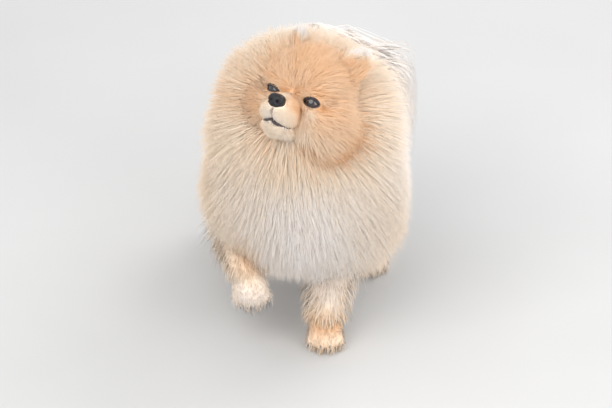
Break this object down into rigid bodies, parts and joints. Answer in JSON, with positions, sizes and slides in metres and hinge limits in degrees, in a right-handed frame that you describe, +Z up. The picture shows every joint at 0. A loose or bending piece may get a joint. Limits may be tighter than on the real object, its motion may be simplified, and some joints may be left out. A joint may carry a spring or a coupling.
{
  "type": "pomeranian",
  "caption": "Life-size still model of a fluffy orange and cream pomeranian standing with a forepaw lifted, head turned and raised, tail over its back.",
  "frame": {"origin": "middle of the model's footprint box, on the floor", "axes": "+Z up from the floor; the dog's body faces -Y and its left side is +X"},
  "size_m": [0.196, 0.2608, 0.2998],
  "materials": {
    "coat": "soft fur",
    "ear": "short velvety fur",
    "eye": "wet, glossy",
    "nose_leather": "moist, pebbled",
    "skin": "soft skin under the coat",
    "claw": "horn"
  },
  "bodies": {
    "root": {"head": "coat", "neck": "coat", "torso": "coat", "tail_base": "coat", "tail_plume": "coat", "foreleg_left": "coat", "foreleg_right": "coat", "hindleg_left": "coat", "hindleg_right": "coat", "forepaw_left": "coat", "forepaw_right": "coat", "hindpaw_left": "coat", "hindpaw_right": "coat", "ear_left": "ear", "ear_right": "ear", "eye_left": "eye", "eye_right": "eye", "nose": "nose_leather"}
  },
  "joints": []
}
